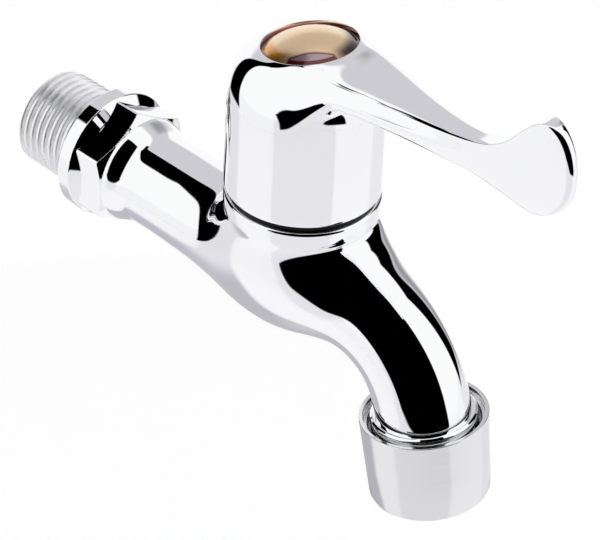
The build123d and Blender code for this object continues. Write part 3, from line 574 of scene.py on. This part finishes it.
# Distance from the button's middle, 1 at its rim, and the angle around it, 0 towards the spout
coords = add_node(tree, "TexCoord")
seat_x = (valve_x * cos(cap_tilt) + cap_top * sin(cap_tilt)) / button_r
seat_z = (cap_top * cos(cap_tilt) - valve_x * sin(cap_tilt)) / button_r
centred = add_node(tree, "Mapping", {
    "Vector": coords.outputs["Object"], "Scale": (1 / button_r / MM,) * 3,
    "Rotation": (0, cap_tilt, 0), "Location": (-seat_x, 0, -seat_z)})
flat = add_node(tree, "VectorMath", {
    0: centred.outputs["Vector"], 1: (1, 1, 0)}, operation="MULTIPLY").outputs["Vector"]
out = add_node(tree, "VectorMath", {0: flat}, operation="LENGTH").outputs["Value"]
sides = add_node(tree, "SeparateXYZ", {"Vector": flat}).outputs
around = add_node(tree, "Math", {0: sides["Y"], 1: sides["X"]}, operation="ARCTAN2").outputs[0]
around = add_node(tree, "Math", {0: around}, operation="DEGREES").outputs[0]
clouds = add_node(tree, "TexNoise", {"Vector": coords.outputs["Object"], "Scale": 180, "Detail": 2})
# Amber by distance from the middle; the dark band at the rim is painted shade of the seat's recess
amber_and_rim_shade = add_node(tree, "ValToRGB", {"Fac": out})
stops = amber_and_rim_shade.color_ramp.elements
stops[0].color, stops[1].color = (0.86, 0.6, 0.34, 1), (0.2, 0.04, 0.02, 1)
for at, colour in ((0.8, (0.9, 0.66, 0.38)), (0.9, (0.86, 0.56, 0.3)), (0.96, (0.3, 0.07, 0.03))):
    stops.new(at).color = (*colour, 1)
colour = amber_and_rim_shade.outputs["Color"]
# Painted reflections: an orange patch on the near side, where the dome would mirror light through the
# amber, and a dark patch towards the spout, where it would mirror a black card of the tent.
# Each zone has its colour, its two angles with their softness, and its two distances with theirs.
painted_reflections = (
    ((0.8, 0.33, 0.03, 1), -140, -86, 12, 0.74, 0.94, 0.07),
    ((0.06, 0.02, 0.012, 1), -6, 70, 14, 0.76, 1.2, 0.12),
)
for tint, low, high, soft_angle, inner, outer, soft_out in painted_reflections:
    angular = between(tree, around, low, high, soft_angle)
    radial = between(tree, out, inner, outer, soft_out)
    mask = add_node(tree, "Math", {0: angular, 1: radial}, operation="MULTIPLY").outputs[0]
    colour = laid_over(tree, colour, tint, mask)
# A painted highlight shows in front, a pale lens shape with dark red edges, standing in for what the clear
# face mirrors
highlight_middle, highlight_half, highlight_inner, highlight_outer = -44, 34, 0.68, 0.84
turned = add_node(tree, "Math", {0: around, 1: highlight_middle}, operation="SUBTRACT").outputs[0]
bent = add_node(tree, "Math", {0: turned, 1: 1 / highlight_half}, operation="MULTIPLY").outputs[0]
bent = add_node(tree, "Math", {0: bent, 1: bent}, operation="MULTIPLY").outputs[0]
bent = add_node(tree, "Math", {
    0: bent, 1: highlight_inner - highlight_outer, 2: out}, operation="MULTIPLY_ADD").outputs[0]
lens = add_node(tree, "ValToRGB", {"Fac": bent})
stops = lens.color_ramp.elements
stops[0].position, stops[0].color = highlight_inner - 0.04, (0.6, 0.36, 0.16, 1)
stops[1].position, stops[1].color = highlight_inner - 0.01, (0.1, 0.012, 0.01, 1)
stops.new(highlight_inner + 0.02).color = (0.42, 0.3, 0.34, 1)
ahead = between(tree, turned, -highlight_half, highlight_half, 2)
above_highlight = between(tree, bent, highlight_inner - 0.04, 2, 0.03)
mask = add_node(tree, "Math", {0: ahead, 1: above_highlight}, operation="MULTIPLY").outputs[0]
inside = between(tree, out, 0, highlight_outer, 0.01)
# Dark red painted reflection around the highlight, then the pale painted highlight inside it
colour = laid_over(tree, colour, (0.14, 0.015, 0.012, 1), mask)
mask = add_node(tree, "Math", {0: mask, 1: inside}, operation="MULTIPLY").outputs[0]
colour = laid_over(tree, colour, lens.outputs["Color"], mask)
tree.links.new(colour, shader.inputs["Base Color"])
blur = add_node(tree, "MapRange", {"Value": clouds.outputs["Fac"], "To Min": 0.24, "To Max": 0.32})
tree.links.new(blur.outputs["Result"], shader.inputs["Roughness"])
dress(button, amber, "lever", "index_button")

# Collar of the aerator: turned brass, satin chromed, screwed on the spout's end. It narrows
# towards the mouth, and its upper rim stands clear around the spout's shoulder.
outlet_x, outlet_z, outlet_tilt, turned_edge = 88.75, -15.85, radians(10.9), 0.15
outlet_place = station(outlet_x, outlet_z, (sin(outlet_tilt), 0, -cos(outlet_tilt)))
collar = turn("aerator_collar", (
    (11.7, 0.0), (12.55, 0.0), (12.51, 1.0), (12.19, 9.0), (11.87, 16.8), (11.62, 17.45), (11.2, 17.8),
    (10.5, 17.8), (8.9, 17.8), (8.9, 16.2), (10.6, 16.2), (10.6, 9.2), (11.05, 9.2), (11.05, 1.6),
    (11.7, 1.6)), outlet_place)
round_edges(collar, turned_edge)
satin = turned_finish("satin_chrome", (0.82, 0.82, 0.83, 1), 0.12, 0.2, 0.004, (0, outlet_tilt, 0))
dress(collar, satin, "body", "aerator_housing")
shoulder = turn("outlet_shoulder", (
    (7.0, -0.5), (9.9, -0.5), (10.4, -0.1), (10.4, 1.55), (7.0, 1.55)), outlet_place)
round_edges(shoulder, turned_edge)
dress(shoulder, chrome, "body", "tap_body")

# Aerator: a rubber washer, a flow disc, a jet body and two woven screens, held in the collar's
# mouth. Only the lower screen and the jet body's rim show, from below.
dress_nodes(rubber, "aerator_washer")
dress_nodes(acetal, "flow_disc", "aerator_insert")
dress_nodes(steel, "aerator_screens")

# Stage: a pale floor well under the tap, a soft lamp overhead, a light tent with black cards
# around it, and the photograph's camera
camera_centre = Vector((274.516, -245.375, 260.928)) * MM
azimuth, elevation, roll = radians(41.763), radians(38.493), radians(2.783)
focal_px, image_width_px = 2162.25, 600
backward = Vector((sin(azimuth) * cos(elevation), -cos(azimuth) * cos(elevation), sin(elevation)))
right = Vector((cos(azimuth), sin(azimuth), 0))
above = backward.cross(right)
camera = bpy.data.objects.new("camera", bpy.data.cameras.new("camera"))
camera.data.lens = camera.data.sensor_width * focal_px / image_width_px
camera.data.clip_start, camera.data.clip_end = 0.01, 100
axes = Matrix((right * cos(roll) + above * sin(roll), above * cos(roll) - right * sin(roll), backward))
camera.matrix_world = Matrix.Translation(camera_centre) @ axes.transposed().to_4x4()
bpy.context.scene.collection.objects.link(camera)
bpy.context.scene.camera = camera
bpy.context.scene.view_settings.view_transform = "Standard"

floor_z, floor_r, floor_centre, floor_white, floor_glow = -300, 650, 55, 0.95, 0.25
bm = bmesh.new()
bmesh.ops.create_circle(bm, cap_ends=True, segments=128, radius=floor_r * MM,
                        matrix=Matrix.Translation(Vector((floor_centre, 0, floor_z)) * MM))
floor = finish_mesh(bm, "floor")


def direction_angles(tree, x, y):
    """Azimuth in degrees, 0 along -Y and 90 along +X."""
    ahead = add_node(tree, "Math", {0: y, 1: -1}, operation="MULTIPLY").outputs[0]
    turned = add_node(tree, "Math", {0: x, 1: ahead}, operation="ARCTAN2").outputs[0]
    return add_node(tree, "Math", {0: turned}, operation="DEGREES").outputs[0]


def lay_card(tree, under, azimuth, elevation, card):
    """Lays one card of the light tent over the tones that are there."""
    left, right, low, high, lean, tone, soft = card
    middle = (left + right) / 2
    turned = add_node(tree, "Math", {0: azimuth, 1: middle}, operation="SUBTRACT").outputs[0]
    turned = add_node(tree, "Math", {0: turned, 1: 180, 2: -180}, operation="WRAP").outputs[0]
    left_edge = add_node(tree, "Math", {
        0: elevation, 1: lean, 2: left - middle}, operation="MULTIPLY_ADD").outputs[0]
    across = between(tree, turned, left_edge, right - middle, soft)
    upright = between(tree, elevation, low, high, soft)
    mask = add_node(tree, "Math", {0: across, 1: upright}, operation="MULTIPLY").outputs[0]
    step = add_node(tree, "Math", {0: tone, 1: under}, operation="SUBTRACT").outputs[0]
    return add_node(tree, "Math", {0: mask, 1: step, 2: under}, operation="MULTIPLY_ADD").outputs[0]


def lay_cards(tree, cards, azimuth, elevation, seen):
    """The tent's colour in one direction. Greys are faintly violet, and the camera sees plain white."""
    tone = add_node(tree, "Value").outputs[0]
    tone.default_value = 1.0
    for card in cards:
        tone = lay_card(tree, tone, azimuth, elevation, card)
    light = add_node(tree, "LightPath")
    seen = add_node(tree, "Math", {
        0: light.outputs["Is Camera Ray"], 1: seen}, operation="MULTIPLY").outputs[0]
    tone = add_node(tree, "Math", {0: tone, 1: seen}, operation="MAXIMUM").outputs[0]
    tint = add_node(tree, "ValToRGB", {"Fac": tone})
    tint.color_ramp.elements.new(0.6).color = (0.59, 0.585, 0.625, 1)
    return tint.outputs["Color"], light


# Cards of the tent: left, right, lowest, highest in degrees, lean of the left edge, tone, softness.
# The floor is toned in soft bands by its direction from the tap, darker in a grey patch under the tap
# towards the inlet, and the chrome mirrors these tones.
floor_cards = (
    (-64, -3, -90, -10, 0, 0.93, 3),
    (-3, 86, -90, -10, 0, 0.81, 3),
    (86, 150, -90, -10, 0, 0.94, 3),
    (150, 190, -90, -10, 0, 0.84, 4),
    (-100, -64, -90, -10, 0, 0.78, 4),
    (-143, -62, -74, -43, 0, 0.5, 8),
)
tent_cards = (
    (-180, -97, 16, 60, 0, 0.64, 4),
    (-97, -62, -26, 71, 0, 0.0, 1.2),
    (-110, -56, 60, 71, 0, 0.0, 1.2),
    (-70, -56, 44, 71, 0, 0.0, 1.2),
    (-3, 100, 2, 82, 0, 0.0, 1.0),
    (-3, 100, -22, 4, -0.4, 0.0, 1.0),
    (179, 196, -30, 42, 0, 0.3, 9),
    (157, 179, -16, 40, 0, 0.0, 1.2),
)
paper, tree, shader = new_finish("seamless_paper", Roughness=0.9)
# The tap's direction to each place of the floor, as an azimuth and an elevation
place = add_node(tree, "Mapping", {
    "Vector": add_node(tree, "TexCoord").outputs["Object"],
    "Location": (-floor_centre * MM, 0, 0)}).outputs["Vector"]
flat = add_node(tree, "VectorMath", {0: place, 1: (1, 1, 0)}, operation="MULTIPLY").outputs["Vector"]
away = add_node(tree, "VectorMath", {0: flat}, operation="LENGTH").outputs["Value"]
place = add_node(tree, "SeparateXYZ", {"Vector": place})
around = direction_angles(tree, place.outputs["X"], place.outputs["Y"])
height = add_node(tree, "Math", {0: floor_z * MM, 1: away}, operation="ARCTAN2").outputs[0]
height = add_node(tree, "Math", {0: height}, operation="DEGREES").outputs[0]
colour, light = lay_cards(tree, floor_cards, around, height, floor_white)
tree.links.new(colour, shader.inputs["Base Color"])
tree.links.new(colour, shader.inputs["Emission Color"])
# A little of the light of its own keeps the paper white in the picture and in what the chrome mirrors
seen = light.outputs["Is Camera Ray"]
for ray in ("Is Glossy Ray", "Is Transmission Ray"):
    seen = add_node(tree, "Math", {0: seen, 1: light.outputs[ray]}, operation="MAXIMUM").outputs[0]
glow = add_node(tree, "Math", {0: seen, 1: floor_glow}, operation="MULTIPLY").outputs[0]
tree.links.new(glow, shader.inputs["Emission Strength"])
floor.data.materials.append(paper)

tent = bpy.data.worlds.new("tent")
tent.use_nodes = True
tree = tent.node_tree
ray = add_node(tree, "SeparateXYZ", {"Vector": add_node(tree, "TexCoord").outputs["Generated"]})
around = direction_angles(tree, ray.outputs["X"], ray.outputs["Y"])
height = add_node(tree, "Math", {0: ray.outputs["Z"]}, operation="ARCSINE").outputs[0]
height = add_node(tree, "Math", {0: height}, operation="DEGREES").outputs[0]
colour, light = lay_cards(tree, floor_cards + tent_cards, around, height, 1.0)
tree.links.new(colour, tree.nodes["Background"].inputs["Color"])
bpy.context.scene.world = tent

lamp_side, lamp_height, lamp_watts = 1.2, 1.0, 6.0
lamp = bpy.data.objects.new("overhead_lamp", bpy.data.lights.new("overhead_lamp", "AREA"))
lamp.data.shape, lamp.data.size, lamp.data.energy = "SQUARE", lamp_side, lamp_watts
lamp.location = (floor_centre * MM, 0, lamp_height)
lamp.visible_glossy = False
bpy.context.scene.collection.objects.link(lamp)
